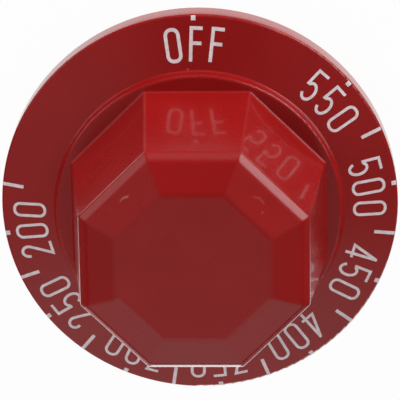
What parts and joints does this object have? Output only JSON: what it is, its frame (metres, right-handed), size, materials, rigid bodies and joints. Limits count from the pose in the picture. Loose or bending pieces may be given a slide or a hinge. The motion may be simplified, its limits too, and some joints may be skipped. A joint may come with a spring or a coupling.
{
  "type": "oven control dial",
  "caption": "Red moulded push-on oven dial with a tapered eight-sided grip on a round printed skirt, hollow behind, with a flatted shaft socket and a spring strip.",
  "frame": {"origin": "on the shaft axis, in the plane of the rim's rear edge on which the dial rests", "axes": "+Z along the shaft axis towards the grip, +Y towards the off mark"},
  "size_m": [0.0635, 0.0634, 0.032],
  "materials": {
    "red_moulding": "polished moulding",
    "spring_steel": "rolled strip",
    "scale_print": "filled print"
  },
  "bodies": {
    "root": {"dial_body": "red_moulding", "shaft_spring": "spring_steel"}
  },
  "joints": []
}
